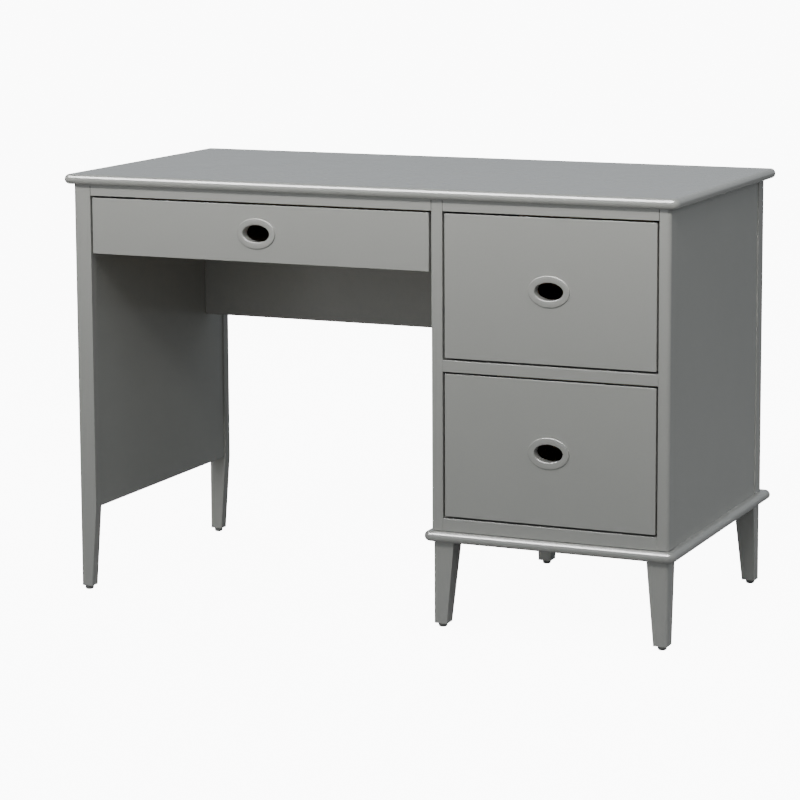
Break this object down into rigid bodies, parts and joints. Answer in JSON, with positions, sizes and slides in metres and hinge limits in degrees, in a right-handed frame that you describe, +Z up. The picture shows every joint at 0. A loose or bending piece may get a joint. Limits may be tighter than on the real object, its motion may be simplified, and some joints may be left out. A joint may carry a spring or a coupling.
{
  "type": "writing desk",
  "caption": "Painted writing desk with a bullnose top, a shallow drawer over the kneehole, a pedestal of deep inset drawers, oval finger holes and tapered legs.",
  "frame": {"origin": "centre of the footprint, on the floor", "axes": "+X to the right of a person at the desk, +Y to the back, +Z up; the drawers open towards -Y"},
  "size_m": [1.16, 0.56, 0.765],
  "materials": {
    "painted_wood": "satin grey paint",
    "pull_ring": "satin grey paint",
    "drawer_wood": "clear lacquered birch",
    "slide_steel": "zinc plated, rolled",
    "zinc_steel": "zinc plated",
    "glide_plastic": "moulded"
  },
  "bodies": {
    "frame": {"desktop": "painted_wood", "left_front_post": "painted_wood", "left_back_post": "painted_wood", "left_end_outer_skin": "painted_wood", "left_end_inner_skin": "painted_wood", "left_end_core_rails": "drawer_wood", "centre_front_post": "painted_wood", "right_front_post": "painted_wood", "centre_back_post": "painted_wood", "right_back_post": "painted_wood", "pedestal_inner_panel": "painted_wood", "pedestal_outer_panel": "painted_wood", "pedestal_back_panel": "painted_wood", "pedestal_base": "painted_wood", "leg_front_left": "painted_wood", "leg_front_right": "painted_wood", "leg_back_left": "painted_wood", "leg_back_right": "painted_wood", "leg_studs": "zinc_steel", "leg_glides": "glide_plastic", "kneehole_rail": "painted_wood", "upper_rail": "painted_wood", "middle_rail": "painted_wood", "lower_rail": "painted_wood", "modesty_panel": "painted_wood", "slide_packers": "painted_wood", "desktop_brackets": "zinc_steel", "frame_screws": "zinc_steel", "kneehole_cabinet_slides": "slide_steel", "upper_cabinet_slides": "slide_steel", "lower_cabinet_slides": "slide_steel"},
    "kneehole_drawer": {"kneehole_drawer_front": "painted_wood", "kneehole_drawer_pull": "pull_ring", "kneehole_drawer_left_side": "drawer_wood", "kneehole_drawer_right_side": "drawer_wood", "kneehole_drawer_back": "drawer_wood", "kneehole_drawer_bottom": "drawer_wood", "kneehole_drawer_screws": "zinc_steel", "kneehole_drawer_slides": "slide_steel"},
    "kneehole_middle_slides": {"kneehole_middle_slides": "slide_steel"},
    "upper_drawer": {"upper_drawer_front": "painted_wood", "upper_drawer_pull": "pull_ring", "upper_drawer_left_side": "drawer_wood", "upper_drawer_right_side": "drawer_wood", "upper_drawer_back": "drawer_wood", "upper_drawer_bottom": "drawer_wood", "upper_drawer_screws": "zinc_steel", "upper_drawer_slides": "slide_steel"},
    "upper_middle_slides": {"upper_middle_slides": "slide_steel"},
    "lower_drawer": {"lower_drawer_front": "painted_wood", "lower_drawer_pull": "pull_ring", "lower_drawer_left_side": "drawer_wood", "lower_drawer_right_side": "drawer_wood", "lower_drawer_back": "drawer_wood", "lower_drawer_bottom": "drawer_wood", "lower_drawer_screws": "zinc_steel", "lower_drawer_slides": "slide_steel"},
    "lower_middle_slides": {"lower_middle_slides": "slide_steel"}
  },
  "joints": [
    {"name": "kneehole_drawer_slide", "type": "slide", "parent": "frame", "child": "kneehole_drawer", "axis": [0, -1, 0], "range_m": [0, 0.35]},
    {"name": "kneehole_middle_slide", "type": "slide", "parent": "frame", "child": "kneehole_middle_slides", "axis": [0, -1, 0], "range_m": [0, 0.175]},
    {"name": "upper_drawer_slide", "type": "slide", "parent": "frame", "child": "upper_drawer", "axis": [0, -1, 0], "range_m": [0, 0.4]},
    {"name": "upper_middle_slide", "type": "slide", "parent": "frame", "child": "upper_middle_slides", "axis": [0, -1, 0], "range_m": [0, 0.2]},
    {"name": "lower_drawer_slide", "type": "slide", "parent": "frame", "child": "lower_drawer", "axis": [0, -1, 0], "range_m": [0, 0.4]},
    {"name": "lower_middle_slide", "type": "slide", "parent": "frame", "child": "lower_middle_slides", "axis": [0, -1, 0], "range_m": [0, 0.2]}
  ],
  "couplings": [
    {"joint": "kneehole_middle_slide", "follows": "kneehole_drawer_slide", "ratio": 0.5},
    {"joint": "upper_middle_slide", "follows": "upper_drawer_slide", "ratio": 0.5},
    {"joint": "lower_middle_slide", "follows": "lower_drawer_slide", "ratio": 0.5}
  ]
}
